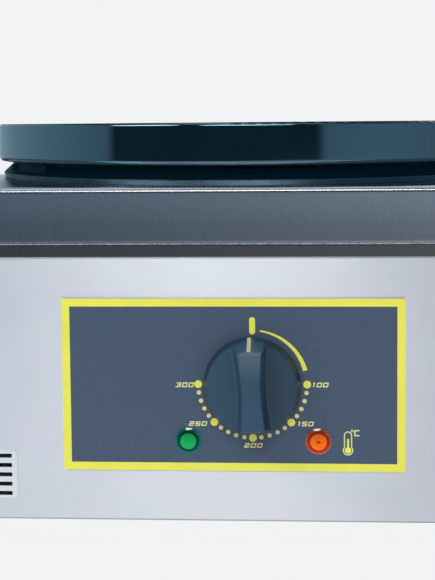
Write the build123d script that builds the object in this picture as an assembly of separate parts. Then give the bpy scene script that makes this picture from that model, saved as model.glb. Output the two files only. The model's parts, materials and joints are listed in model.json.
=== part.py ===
from build123d import *
import os
from math import cos, radians, sin

# Electric crepe maker: a cast iron plate bolted to a square stainless steel casing.
# Millimetres. +Z is up, the front faces -Y, and the origin is under the middle of
# the plate, on the surface that the feet stand on.

# Overall sizes
body_width = 360
body_depth = 360
foot_height = 22.8
casing_height = 183.2
cover_top = 212
skirt_height = 38.9
plate_top = 247.4
sheet = 1.2
hole_clearance = 0.1
stud_clearance = 0.5
drill_depth = 8

# Crepe plate
plate_radius = 175
plate_height = 24.4
plate_web = 11
rim_wall = 8.5
rim_edge = 2.2
rim_lower_edge = 3.2

# Top cover
cover_corner = 5
cover_fold = 3.2
hem_height = 6.5
hem_edge = 1.1
opening_radius = 136

# Lower casing
casing_inset = 2.5
casing_corner = 3
casing_fold = 1.5
floor_flange = 36
top_flange = 10

# Vent groups: slots pressed in a slightly raised pad
slot_count = 5
slot_length = 38
slot_width = 2.3
slot_corner = 0.4
slot_pitch = 5.4
vent_pad_width = 43.9
vent_pad_height = 27.5
vent_pad_raise = 0.6
vent_height = 49
vent_side_offset = 149.3

# Control panel
panel_width = 191.7
panel_height = 97.5
panel_thickness = 0.8
panel_corner = 1
panel_x = -4.5
panel_z = 101

# Knob, turned about the thermostat shaft
knob_x = 6.4
knob_z = 101.2
knob_radius = 27.1
knob_rim_radius = 25
knob_front_radius = 21.9
knob_rim_height = 9
knob_depth = 19.5
knob_gap = 0.8
knob_rest_turn = 3
grip_half_width = 5
grip_base_half_width = 7.6
grip_side_radius = 150
scoop_corner = 2
knob_edge = 0.5
shaft_radius = 3
shaft_flat = 1.5
shaft_grip = 12
running_clearance = 0.06
hub_rear = 2.6
hub_radius = 8
clip_sheet = 0.5
clip_width = 4
pointer_width = 2.1
pointer_depth = 0.5
pointer_span = (1.6, 17.8)

# Signal lamps
lamp_middle_x = 6.8
lamp_offset = 36.4
lamp_drop = 31.6
lamp_radius = 7.5
lamp_rise = 2.4
lamp_dome_radius = 15
lamp_edge = 0.25
lamp_barrel_radius = 5.9
lamp_stem_radius = 4.5
lamp_length = 27

# Heating element: one tube bent into three rows
tube_radius = 4.25
row_radii = (118, 86, 54)
tail_bend = 14
element_start = 100
outer_sweep = 340
middle_sweep = 320
inner_sweep = 280
element_foot = 176
pin_length = 20
pin_radius = 1.75
bead_radius = 4.6
bead_length = 9

# Spun ring that the plate stands on
ring_tip_radius = 172
ring_tip_rise = 3.2
ring_lip_radius = 165.7
ring_rise = 9.1
ring_foot_radius = 170.8
ring_flange_radius = 140
ring_sheet = 1.2

# Plate fixings
lug_angles = (-52.5, 52.5, 180)
lug_arc = 13.6
lug_width = 4
stud_circle = 150
stud_radius = 4
nut_flats = 13
nut_height = 6.5
washer_thickness = 1.6

# Star clamp under the element, insulation and reflector pan
clamp_sheet = 2
clamp_reach = 128
clamp_angles = (0, 120, 240)
insulation_radius = 124
insulation_top = 215
pan_bottom = 184
pan_sheet = 1
pan_flange_radius = 160

# Thermostat, its bulb and its capillary
thermostat_size = 44
thermostat_pitch = 28
thermostat_screw_radius = 1.6
bush_radius = 5
bush_length = 4.6
bulb_radius = 3
bulb_length = 84
bulb_x = -8
bulb_y = -96.5
bulb_exit_x = 46
strap_sheet = 0.8
strap_width = 12
strap_ear = 8.5
strap_screw_radius = 1.5
capillary_radius = 0.8

# Base plate, feet and screws
base_width = 306
foot_offset = 160
foot_radius = 14.5
foot_screw_radius = 2.5
foot_screw_head_radius = 4.6
foot_screw_head_height = 2.8
foot_well_radius = 6
foot_well_depth = 12
base_screw_edge = 147
base_screw_spread = 80
floor_slot_length = 90
floor_slot_width = 4
floor_slot_pitch = 14
floor_slot_rows = 9
floor_slot_offset = 62
cover_screw_z = 193
cover_screw_spread = 110
screw_radius = 2
screw_head_radius = 3.8
screw_head_height = 2.2
screw_head_edge = 1.2
small_nut_flats = 8
small_nut_height = 4

# Mains entry
block_x = 70
block_y = 120
block_pole_pitch = 10
block_height = 20
block_screw_spread = 21
block_screw_radius = 1.5
block_ledge = 5
earth_x = 20
earth_y = 120
earth_stud_radius = 2.5
gland_x = -110
gland_z = 62
gland_flats = 24
gland_thread_radius = 9.9
gland_bore_radius = 5
gland_hex_height = 5
gland_seal_wall = 2.1

# Levels and places worked out from the sizes above
casing_bottom = foot_height
casing_top = casing_bottom + casing_height
casing_half_width = body_width / 2 - casing_inset
casing_half_depth = body_depth / 2 - casing_inset
plate_bottom = plate_top - plate_height
web_bottom = plate_top - plate_web
element_level = web_bottom - tube_radius
clamp_top = web_bottom - 2 * tube_radius
wall_face = -casing_half_depth
wall_inside = wall_face + sheet
panel_face = wall_face - panel_thickness
knob_rear = panel_face - knob_gap
floor_level = casing_bottom + sheet
flange_top = cover_top + ring_sheet
under_cover = cover_top - sheet
boss_bottom = web_bottom - 8
base_top = floor_level + sheet
bulb_level = web_bottom - bulb_radius - 0.1
strap_rise = web_bottom - bulb_level
strap_screw_y = bulb_y - bulb_radius - strap_ear + 3.2
lamp_z = panel_z - lamp_drop
stud_top = plate_top - 4.5
washer_bottom = under_cover - pan_sheet - washer_thickness
# the gland stands out behind as far as the knob does in front
gland_length = knob_depth + knob_gap + panel_thickness

# Route of the capillary, from the end of the bulb to the back of the thermostat
capillary_seat = (knob_x, wall_inside + 33, knob_z - 6)
capillary_route = [
    (bulb_x + bulb_length / 2, bulb_y, bulb_level),
    (bulb_exit_x, bulb_y, bulb_level),
    (bulb_exit_x, bulb_y, 160),
    (34, -112, 120),
    (capillary_seat[0], -118, capillary_seat[2]),
    capillary_seat,
]
capillary_radii = [8, 30, 18, 8]

upward = (Align.CENTER, Align.CENTER, Align.MIN)


def save(name, shape):
    """Write one sub-part; separate solids of a group stay separate."""
    export_step(shape, f"parts/{name}.step")


def group(solids):
    return Compound(children=list(solids))


def profile(*corners):
    """Closed face from corners; a corner's third number is its rounding radius."""
    face = make_face(Polyline(*[corner[:2] for corner in corners], close=True)).face()
    for corner in corners:
        if len(corner) == 3:
            vertex = face.vertices().sort_by_distance((corner[0], corner[1], 0))[0]
            face = face.fillet_2d(corner[2], [vertex])
    return face


def turned(*corners, arc=360):
    """Body of revolution about Z from corners given as radius and height."""
    return revolve(Plane.XZ.location * profile(*corners), Axis.Z, arc)


def disc(radius, low, high, x=0, y=0):
    return Pos(x, y, low) * Cylinder(radius, high - low, align=upward)


def tube(radius, bore, low, high):
    return disc(radius, low, high) - disc(bore, low - 1, high + 1)


def drill(radius):
    """Cutter for a wall's hole, a little wider than what goes through it."""
    return Cylinder(radius + hole_clearance, drill_depth)


def prism(width, depth, corner, low, high):
    """Upright block with rounded vertical edges, centred on the origin."""
    return extrude(Pos(0, 0, low) * RectangleRounded(width, depth, corner), high - low)


def hexagon(across_flats, low, high):
    outline = RegularPolygon(across_flats / 2, 6, major_radius=False)
    return extrude(Pos(0, 0, low) * outline, high - low)


def nut(across_flats, bore, low, high):
    return hexagon(across_flats, low, high) - disc(bore, low - 1, high + 1)


def facing(x, y, z, turn=0):
    """Frame whose Z points out of the front wall; turn moves it to another wall."""
    return Rot(0, 0, turn) * Pos(x, y, z) * Rot(90, 0, 0)


def around(angle, radius=0):
    """Place on the plate's circle, with the angle counted from the front."""
    return Rot(0, 0, angle) * Pos(0, -radius, 0)


def at_studs(shape):
    """One copy of a fixing on each of the three plate studs."""
    return group(around(angle, stud_circle) * shape for angle in lug_angles)


# Places that several parts share


def vent_places():
    """Every vent group: two low down on each of the four walls."""
    turns = (0, 90, 180, 270)
    return [(turn, side * vent_side_offset) for turn in turns for side in (-1, 1)]


def thermostat_screw_places():
    return [(knob_x + side * thermostat_pitch / 2, knob_z) for side in (-1, 1)]


def lamp_places():
    return [lamp_middle_x + side * lamp_offset for side in (-1, 1)]


def foot_places():
    return [(x, y) for x in (-foot_offset, foot_offset) for y in (-foot_offset, foot_offset)]


def base_screw_places():
    pairs = [(a, b) for a in (-1, 1) for b in (-1, 1)]
    rows = [(a * base_screw_edge, b * base_screw_spread) for a, b in pairs]
    columns = [(b * base_screw_spread, a * base_screw_edge) for a, b in pairs]
    return rows + columns


def cover_screw_places():
    """Two on each side wall and two on the rear wall; the front has none."""
    return [(turn, side * cover_screw_spread) for turn in (90, 180, 270) for side in (-1, 1)]


def block_screw_places():
    return [block_x + side * block_screw_spread for side in (-1, 1)]


# Sheet metal


def add_vents(casing):
    """Raise the vent pads in the walls and cut their slots."""
    pad = RectangleRounded(vent_pad_width, vent_pad_height, 2)
    dent = RectangleRounded(vent_pad_width - 2 * sheet, vent_pad_height - 2 * sheet, 1)
    slot = RectangleRounded(slot_length, slot_width, slot_corner)
    slot = extrude(slot, 3 * sheet, both=True)
    rises = [(index - (slot_count - 1) / 2) * slot_pitch for index in range(slot_count)]
    for turn, offset in vent_places():
        place = facing(offset, wall_face, vent_height, turn)
        casing += place * extrude(pad, vent_pad_raise)
        casing -= place * Pos(0, 0, -sheet) * extrude(dent, vent_pad_raise)
        casing -= [place * Pos(0, rise, 0) * slot for rise in rises]
    return casing


def cut_front_holes(wall):
    """Holes for the shaft, the thermostat screws and the two lamps."""
    wall -= facing(knob_x, wall_face, knob_z) * drill(bush_radius)
    for x, z in thermostat_screw_places():
        wall -= facing(x, wall_face, z) * drill(thermostat_screw_radius)
    for x in lamp_places():
        wall -= facing(x, wall_face, lamp_z) * drill(lamp_barrel_radius)
    return wall


def make_lower_casing():
    """Wrapped shell: four walls, a wide floor flange and a narrow top flange."""
    size = 2 * casing_half_width
    inside = size - 2 * sheet
    casing = prism(size, size, casing_corner, casing_bottom, casing_top)
    casing = fillet(casing.faces().sort_by(Axis.Z)[0].edges(), casing_fold)
    casing -= prism(inside, inside, casing_corner - sheet, floor_level, casing_top - sheet)
    floor_opening = size - 2 * floor_flange
    casing -= prism(floor_opening, floor_opening, 4, casing_bottom - 1, floor_level + 1)
    top_opening = size - 2 * top_flange
    casing -= prism(top_opening, top_opening, 4, casing_top - sheet - 1, casing_top + 1)
    casing = cut_front_holes(add_vents(casing))
    for x, y in foot_places():
        casing -= Pos(x, y, floor_level) * drill(foot_screw_radius)
    for x, y in base_screw_places():
        casing -= Pos(x, y, floor_level) * drill(screw_radius)
    for turn, offset in cover_screw_places():
        casing -= facing(offset, wall_face, cover_screw_z, turn) * drill(screw_radius)
    return casing - at_gland(drill(gland_thread_radius))


def make_base_plate():
    """Bottom sheet on the floor flange, with two columns of cooling slots."""
    plate = prism(base_width, base_width, 3, floor_level, base_top)
    slot = extrude(SlotOverall(floor_slot_length, floor_slot_width), 2 * sheet, both=True)
    for side in (-1, 1):
        for row in range(floor_slot_rows):
            y = (row - (floor_slot_rows - 1) / 2) * floor_slot_pitch
            plate -= Pos(side * floor_slot_offset, y, floor_level) * slot
    for x, y in base_screw_places():
        plate -= Pos(x, y, floor_level) * drill(screw_radius)
    for x in block_screw_places():
        plate -= Pos(x, block_y, floor_level) * drill(block_screw_radius)
    return plate - Pos(earth_x, earth_y, floor_level) * drill(earth_stud_radius)


def make_top_cover():
    """Folded pan: rounded top edge, straight skirt and a hem joggled inwards."""
    skirt_bottom = cover_top - skirt_height
    hem_top = skirt_bottom + hem_height
    hem_size = body_width - 2 * sheet
    outer = prism(body_width, body_depth, cover_corner, hem_top, cover_top)
    outer = fillet(outer.faces().sort_by(Axis.Z)[-1].edges(), cover_fold)
    outer = fillet(outer.faces().sort_by(Axis.Z)[0].edges(), hem_edge)
    outer += prism(hem_size, hem_size, cover_corner - sheet, skirt_bottom, hem_top)
    inner = prism(hem_size, hem_size, cover_corner - sheet, hem_top + sheet, under_cover)
    inner = fillet(inner.faces().sort_by(Axis.Z)[-1].edges(), cover_fold - sheet)
    hem_inside = hem_size - 2 * sheet
    hem_corner = cover_corner - 2 * sheet
    inner += prism(hem_inside, hem_inside, hem_corner, skirt_bottom - 1, hem_top + sheet)
    cover = outer - inner
    cover -= disc(opening_radius, under_cover - 1, cover_top + 1)
    for angle in lug_angles:
        hole = disc(stud_radius + stud_clearance, under_cover - 1, cover_top + 1)
        cover -= around(angle, stud_circle) * hole
    for turn, offset in cover_screw_places():
        cover -= facing(offset, -body_depth / 2, cover_screw_z, turn) * drill(screw_radius)
    return cover


def make_control_panel():
    outline = RectangleRounded(panel_width, panel_height, panel_corner)
    sheet_metal = extrude(outline, panel_thickness)
    return cut_front_holes(facing(panel_x, wall_face, panel_z) * sheet_metal)


# Plate, ring and what holds them


def make_crepe_plate():
    """Cast plate: flat top, down-turned rounded rim, and four drilled bosses below."""
    inner_rim = plate_radius - rim_wall
    plate = turned(
        (0, plate_top),
        (0, web_bottom),
        (inner_rim - 3, web_bottom, 4),
        (inner_rim, plate_bottom, 1.5),
        (plate_radius, plate_bottom, rim_lower_edge),
        (plate_radius, plate_top, rim_edge),
    )
    boss = turned((0, boss_bottom), (10, boss_bottom), (12, web_bottom + 1), (0, web_bottom + 1))
    hole = disc(stud_radius, clamp_top - 1, stud_top)
    for angle in lug_angles:
        plate += around(angle, stud_circle) * boss
        plate -= around(angle, stud_circle) * hole
    plate += disc(11, clamp_top, web_bottom + 1)
    plate -= disc(strap_screw_radius, boss_bottom, web_bottom + 6, bulb_x, strap_screw_y)
    return plate - hole


def slope_height(radius):
    """Height of the ring's sloping face over the cover, at a radius."""
    slope = (ring_rise - ring_tip_rise) / (ring_tip_radius - ring_lip_radius)
    return ring_tip_rise + (ring_tip_radius - radius) * slope


def make_support_ring():
    """Spun ring: a flat flange, an undercut foot, a sharp tip and a folded lip."""
    tip = cover_top + ring_tip_rise
    lip = cover_top + ring_rise
    lip_end = ring_lip_radius - 6
    ring = turned(
        (ring_flange_radius, cover_top),
        (ring_foot_radius, cover_top, 0.4),
        (ring_tip_radius, tip, 0.6),
        (ring_lip_radius, lip),
        (lip_end, lip),
        (lip_end, lip - ring_sheet),
        (ring_lip_radius - 0.6, lip - ring_sheet),
        (ring_tip_radius - 1.9, tip),
        (ring_foot_radius - 1, flange_top),
        (ring_flange_radius, flange_top),
    )
    for angle in lug_angles:
        hole = disc(stud_radius + stud_clearance, cover_top - 1, flange_top + 1)
        ring -= around(angle, stud_circle) * hole
    return ring


def make_plate_lugs():
    """Three pads that seat on the ring's slope and carry the plate's rim."""
    outer = ring_lip_radius + lug_width
    inner = ring_lip_radius - lug_width
    lip = cover_top + ring_rise
    pad = turned(
        (inner, lip),
        (ring_lip_radius, lip),
        (outer, cover_top + slope_height(outer) + 0.05),
        (outer - 1, plate_bottom),
        (inner, plate_bottom),
        arc=lug_arc,
    )
    return group(Rot(0, 0, angle - 90 - lug_arc / 2) * pad for angle in lug_angles)


def make_plate_studs():
    return at_studs(chamfer(disc(stud_radius, cover_top - 14, stud_top).edges(), 0.6))


def make_stud_spacers():
    return at_studs(tube(8, stud_radius + 0.2, flange_top, boss_bottom))


def make_stud_washers():
    return at_studs(tube(8, stud_radius + 0.2, washer_bottom, under_cover - pan_sheet))


def make_stud_nuts():
    return at_studs(nut(nut_flats, stud_radius, washer_bottom - nut_height, washer_bottom))


# Heater


def polar(radius, angle):
    return Vector(radius * cos(radians(angle)), radius * sin(radians(angle)), element_level)


def tail(radius, angle, direction):
    """Cold end of the tube: a vertical run, the bend into a row, and its lowest point."""
    corner = polar(radius, angle)
    along = Vector(-sin(radians(angle)), cos(radians(angle)), 0) * direction
    centre = corner - Vector(0, 0, tail_bend)
    foot = centre - along * tail_bend
    middle = centre + (Vector(0, 0, 1) - along) * (tail_bend * sin(radians(45)))
    lowest = Vector(foot.X, foot.Y, element_foot)
    return [Line(lowest, foot), ThreePointArc(foot, middle, corner)], lowest


def element_path():
    """Three rows joined by two hairpin turns, and the two ends of the tube."""
    outer, middle, inner = row_radii
    turn_radius = (outer - middle) / 2
    centre = (0, 0, element_level)
    outer_end = element_start + outer_sweep
    middle_end = outer_end - middle_sweep
    inner_end = middle_end + inner_sweep
    first_tail, start = tail(outer, element_start, 1)
    last_tail, end = tail(inner, inner_end, -1)
    first_turn = polar(middle + turn_radius, outer_end)
    second_turn = polar(inner + turn_radius, middle_end)
    edges = [
        *first_tail,
        CenterArc(centre, outer, element_start, outer_sweep),
        CenterArc(first_turn, turn_radius, outer_end, 180),
        CenterArc(centre, middle, outer_end, -middle_sweep),
        CenterArc(second_turn, turn_radius, middle_end, -180),
        CenterArc(centre, inner, middle_end, inner_sweep),
        *reversed(last_tail),
    ]
    return Wire([edge.edge() for edge in edges]), start, end


def element_ends():
    _, start, end = element_path()
    return [(point.X, point.Y) for point in (start, end)]


def make_heating_element():
    path, start, _ = element_path()
    return sweep(Pos(*start) * Circle(tube_radius), path=path)


def make_element_beads():
    """Ceramic beads that close the ends of the tube."""
    low = element_foot - bead_length
    bead = turned(
        (pin_radius, low),
        (bead_radius, low, 1),
        (bead_radius, element_foot, 1),
        (pin_radius, element_foot),
    )
    return group(Pos(x, y, 0) * bead for x, y in element_ends())


def make_element_pins():
    low = element_foot - pin_length
    return group(disc(pin_radius, low, element_foot, x, y) for x, y in element_ends())


def make_element_clamp():
    """Star clamp: three arms with a stiffening flute, pressed flat on the tubes."""
    low = clamp_top - clamp_sheet
    clamp = disc(24, low, clamp_top)
    arm = SlotOverall(2 * clamp_reach, 26) & Pos(clamp_reach / 2, 0) * Rectangle(clamp_reach, 30)
    for angle in clamp_angles:
        clamp += Rot(0, 0, angle) * Pos(0, 0, low) * extrude(arm, clamp_sheet)
    flute = fillet(extrude(SlotOverall(clamp_reach - 40, 8), -1.2).edges().sort_by(Axis.Z)[:4], 0.5)
    for angle in clamp_angles:
        clamp += Rot(0, 0, angle) * Pos(clamp_reach / 2 + 8, 0, low) * flute
    return clamp - disc(stud_radius + 0.3, low - 2, clamp_top + 1)


def make_clamp_stud():
    return chamfer(disc(stud_radius, clamp_top - 13, stud_top).edges(), 0.6)


def make_clamp_nut():
    top = clamp_top - clamp_sheet
    return nut(nut_flats, stud_radius, top - nut_height, top)


def make_insulation_disc():
    low = pan_bottom + pan_sheet + 0.2
    pad = fillet(disc(insulation_radius, low, insulation_top).edges().sort_by(Axis.Z)[:1], 4)
    pad -= disc(16, pan_bottom, insulation_top + 1)
    for x, y in element_ends():
        pad -= disc(6, pan_bottom, insulation_top + 1, x, y)
    return pad - disc(4, pan_bottom, insulation_top + 1, bulb_exit_x, bulb_y)


def make_reflector_pan():
    """Spun dish under the heater, hung by its flange from the top cover."""
    inside = pan_bottom + pan_sheet
    shoulder = opening_radius - 2
    pan = turned(
        (0, pan_bottom),
        (insulation_radius + 2, pan_bottom, 4),
        (shoulder, under_cover - pan_sheet, 3),
        (pan_flange_radius, under_cover - pan_sheet),
        (pan_flange_radius, under_cover),
        (shoulder - 1, under_cover, 2),
        (insulation_radius + 1.1, inside, 3),
        (0, inside),
    )
    for x, y in element_ends():
        pan -= disc(5.5, pan_bottom - 1, inside + 1, x, y)
    pan -= disc(4, pan_bottom - 1, inside + 1, bulb_exit_x, bulb_y)
    for angle in lug_angles:
        hole = disc(stud_radius + stud_clearance, under_cover - 4, under_cover + 1)
        pan -= around(angle, stud_circle) * hole
    return pan


# Thermostat


def make_thermostat_bulb():
    bulb = fillet(Cylinder(bulb_radius, bulb_length).edges(), 2)
    return Pos(bulb_x, bulb_y, bulb_level) * Rot(0, 90, 0) * bulb


def make_bulb_clip():
    """Strap round the bulb, with one long ear for its screw."""
    inner = bulb_radius + 0.05
    outer = inner + strap_sheet
    strap = Circle(outer) + Pos(0, strap_rise / 2) * Rectangle(2 * outer, strap_rise)
    ear = Rectangle(strap_ear, strap_sheet)
    strap += Pos(-strap_ear / 2 - bulb_radius, strap_rise - strap_sheet / 2) * ear
    strap -= Circle(inner) + Pos(0, strap_rise / 2) * Rectangle(2 * inner, strap_rise)
    strap -= Pos(0, strap_rise + outer) * Rectangle(4 * outer, 2 * outer)
    clip = extrude(Plane.YZ.location * strap, strap_width)
    clip = Pos(bulb_x - strap_width / 2, bulb_y, bulb_level) * clip
    return clip - disc(strap_screw_radius + 0.1, bulb_level, web_bottom + 1, bulb_x, strap_screw_y)


def make_bulb_clip_screw():
    seat = web_bottom - strap_sheet
    screw = disc(2.6, seat - 1.8, seat) + disc(strap_screw_radius, seat, web_bottom + 6)
    return Pos(bulb_x, strap_screw_y, 0) * screw


def make_capillary_tube():
    path = FilletPolyline(*capillary_route, radius=capillary_radii)
    section = Plane(origin=capillary_route[0], z_dir=path % 0) * Circle(capillary_radius)
    return sweep(section, path=path)


def make_thermostat_body():
    """Housing behind the front wall, with its rear cap, terminals and capillary seat."""
    size = thermostat_size
    housing = extrude(RectangleRounded(size, size, 5), -22)
    housing += Pos(0, 0, -22) * extrude(RectangleRounded(size - 6, size - 6, 4), -7)
    housing += Pos(0, -6, -31) * Cylinder(9, 4)
    for x in (-12, -4, 4, 12):
        housing += Pos(x, 14, -33) * Box(0.8, 6.3, 9)
    housing -= Pos(0, 0, -10) * Cylinder(shaft_radius + 0.3, 11, align=upward)
    for side in (-1, 1):
        well = disc(thermostat_screw_radius + 0.05, -8, 1, side * thermostat_pitch / 2)
        housing -= well
    return facing(knob_x, wall_inside, knob_z) * housing


def make_thermostat_bush():
    bush = tube(bush_radius, shaft_radius + running_clearance, 0, bush_length)
    return facing(knob_x, wall_inside, knob_z) * bush


def make_thermostat_screws():
    head = fillet(disc(3.6, 0, 1.5).edges().sort_by(Axis.Z)[-1:], 0.8)
    head -= Pos(0, 0, 1.3) * Box(0.9, 8, 0.8)
    screw = head + disc(thermostat_screw_radius, -9, 0)
    return group(facing(x, panel_face, z) * screw for x, z in thermostat_screw_places())


# Knob and its shaft, built about the shaft's own axis


def on_shaft(shape):
    """Carry a part to the front wall, turned to its rest position."""
    return facing(knob_x, knob_rear, knob_z) * Rot(0, 0, knob_rest_turn) * shape


def knob_blank(inset=0):
    """Turned outline of the knob; inset gives the same outline under its skin."""
    return turned(
        (0, inset),
        (knob_radius - 0.5 - inset, inset),
        (knob_radius - inset, 1.6, 0.5),
        (knob_rim_radius - inset, knob_rim_height),
        (knob_front_radius - inset, knob_depth - inset, 1.6),
        (0, knob_depth - inset),
    )


def knob_scoop(side):
    """Finger scoop: a large cone with a rounded floor, beside the grip bar."""
    height = knob_depth - knob_rim_height
    draft = grip_base_half_width - grip_half_width
    cutter = Cone(grip_side_radius, grip_side_radius + 1.2 * draft, 1.2 * height, align=upward)
    cutter = fillet(cutter.edges().sort_by(Axis.Z)[:1], scoop_corner)
    return Pos(side * (grip_base_half_width + grip_side_radius), 0, knob_rim_height) * cutter


def pointer_inlay():
    """Line let into the skin of the knob, down the sloping end of the grip."""
    low, high = pointer_span
    slab = Pos(0, knob_radius, (low + high) / 2) * Box(pointer_width, knob_radius, high - low)
    return slab & (knob_blank() - knob_blank(pointer_depth))


def make_knob():
    knob = knob_blank()
    for side in (-1, 1):
        knob -= knob_scoop(side)
    # every edge round the scoops runs into the next, so one of them brings the rest
    knob = fillet(knob.faces().sort_by(Axis.Z)[-1].edges().sort_by(SortBy.LENGTH)[-1:], knob_edge)
    knob -= tube(knob_front_radius, hub_radius, -1, 5)
    knob -= disc(hub_radius + 1, -1, hub_rear)
    bore = disc(shaft_radius + 0.03, hub_rear - 1, hub_rear + shaft_grip)
    bore -= Pos(0, shaft_flat + clip_sheet + 5, 0) * Box(12, 10, 40)
    return on_shaft(knob - bore - pointer_inlay())


def make_knob_pointer():
    return on_shaft(pointer_inlay())


def make_thermostat_shaft():
    """Round shaft with a flat for the knob; its inner end sits in the thermostat."""
    inner_end = knob_rear - wall_inside - 9
    shaft = disc(shaft_radius, inner_end, hub_rear + shaft_grip - 0.5)
    flat = Pos(0, shaft_flat + 5, hub_rear - 0.4) * Box(12, 10, 40, align=upward)
    return on_shaft(shaft - flat)


def make_knob_clip():
    """Flat spring between the shaft's flat and the bore."""
    strip = Box(clip_width, clip_sheet, shaft_grip - 2, align=upward)
    return on_shaft(Pos(0, shaft_flat + clip_sheet / 2, hub_rear) * strip)


# Signal lamps


def at_lamp(x, shape):
    return facing(x, panel_face, lamp_z) * shape


def make_lamp_lens(x):
    """Low clear dome with a short upright edge, on a stem."""
    ball = Pos(0, 0, lamp_rise - lamp_dome_radius) * Sphere(lamp_dome_radius)
    dome = disc(lamp_radius, 0, lamp_rise + 1) & ball
    rims = dome.edges().sort_by(SortBy.LENGTH)[-2:]
    dome = fillet(rims.sort_by(Axis.Z)[-1:], lamp_edge)
    return at_lamp(x, dome + disc(lamp_stem_radius, -8, 0))


def make_lamp_body(x):
    """Barrel behind the lens, with two snap ears and two flat terminals."""
    bore = lamp_stem_radius + 0.1
    barrel = turned(
        (bore, 0),
        (bore, -8.5),
        (0, -8.5),
        (0, -lamp_length),
        (lamp_barrel_radius - 0.6, -lamp_length, 1),
        (lamp_barrel_radius, -12),
        (lamp_barrel_radius, 0),
    )
    ear = extrude(profile((5, -9), (7.4, -2.3), (5, -2.3)), 1.5, both=True)
    for turn in (0, 180):
        barrel += Rot(0, 0, turn) * Rot(90, 0, 0) * ear
        barrel += Rot(0, 0, turn) * Pos(3, 0, 4 - lamp_length - 8) * Box(3.2, 0.8, 8.5)
    return at_lamp(x, barrel)


# Base, feet and mains entry


def make_foot(x, y):
    """Tapered rubber foot with a well for its screw."""
    bore = foot_screw_radius + 0.3
    foot = turned(
        (bore, foot_height),
        (bore, foot_well_depth),
        (foot_well_radius, foot_well_depth),
        (foot_well_radius, 0),
        (foot_radius - 2, 0, 1.5),
        (foot_radius, foot_height, 0.8),
    )
    return Pos(x, y, 0) * foot


def make_foot_screws():
    head = disc(foot_screw_head_radius, foot_well_depth - foot_screw_head_height, foot_well_depth)
    screw = fillet(head.edges().sort_by(Axis.Z)[:1], 1)
    screw += disc(foot_screw_radius, foot_well_depth, floor_level + 7)
    foot_nut = nut(small_nut_flats, foot_screw_radius, floor_level, floor_level + small_nut_height)
    return group(Pos(x, y, 0) * piece for x, y in foot_places() for piece in (screw, foot_nut))


def make_base_screws():
    head = disc(screw_head_radius, casing_bottom - screw_head_height, casing_bottom)
    screw = fillet(head.edges().sort_by(Axis.Z)[:1], screw_head_edge)
    screw += disc(screw_radius, casing_bottom, base_top + 5)
    return group(Pos(x, y, 0) * screw for x, y in base_screw_places())


def make_cover_screws():
    head = disc(screw_head_radius, 0, screw_head_height)
    screw = fillet(head.edges().sort_by(Axis.Z)[-1:], screw_head_edge)
    screw += disc(screw_radius, -10, 0)
    return group(
        facing(offset, -body_depth / 2, cover_screw_z, turn) * screw
        for turn, offset in cover_screw_places()
    )


def make_terminal_block():
    """Three-pole ceramic block with wire holes, screw wells and mounting ends."""
    block = Box(32, 20, block_height, align=upward)
    block = fillet(block.edges().filter_by(Axis.Z), 2)
    block += Box(52, 12, block_ledge, align=upward)
    for pole in (-1, 0, 1):
        x = pole * block_pole_pitch
        block -= Pos(x, 0, 9) * Rot(90, 0, 0) * Cylinder(2.6, 30)
        for y in (-5, 5):
            block -= disc(2.4, 9, block_height + 1, x, y)
    for side in (-1, 1):
        place = Pos(side * block_screw_spread, 0, block_ledge / 2)
        block -= place * drill(block_screw_radius)
    return Pos(block_x, block_y, base_top) * block


def make_block_screws():
    head = base_top + block_ledge
    screw = disc(3, head, head + 2) + disc(block_screw_radius, floor_level - 4, head)
    return group(Pos(x, block_y, 0) * screw for x in block_screw_places())


def make_earth_stud():
    return disc(earth_stud_radius, floor_level - 0.8, base_top + 19, earth_x, earth_y)


def make_earth_nut():
    earth_nut = nut(small_nut_flats, earth_stud_radius, base_top, base_top + small_nut_height)
    return Pos(earth_x, earth_y, 0) * earth_nut


def at_gland(shape):
    """Carry a part of the cord entry to the rear wall."""
    return facing(gland_x, wall_face, gland_z, 180) * shape


def make_gland_body():
    body = hexagon(gland_flats, 0, gland_hex_height)
    body += disc(gland_thread_radius, -9, gland_hex_height + 7)
    return at_gland(body - Cylinder(gland_bore_radius + gland_seal_wall + 0.1, 60))


def make_gland_dome():
    """Dome nut: a hexagon turned down to a rounded nose round the cord hole."""
    low = gland_hex_height + 0.2
    mouth = gland_bore_radius + 0.6
    nose = turned(
        (mouth, low),
        (16, low),
        (16, 13, 2),
        (8.6, gland_length, 3),
        (mouth, gland_length),
    )
    dome = nose & hexagon(gland_flats, low, gland_length)
    return at_gland(dome - disc(gland_thread_radius + 0.1, low - 1, low + 7))


def make_gland_seal():
    outer = gland_bore_radius + gland_seal_wall
    shoulder = gland_hex_height + 7.1
    end = gland_length - 0.5
    seal = turned(
        (gland_bore_radius, -6),
        (outer, -6),
        (outer, shoulder),
        (gland_bore_radius + 0.5, shoulder),
        (gland_bore_radius + 0.5, end),
        (gland_bore_radius, end),
    )
    return at_gland(seal)


def make_gland_locknut():
    return at_gland(nut(26, gland_thread_radius, -sheet - 5, -sheet))


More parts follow.
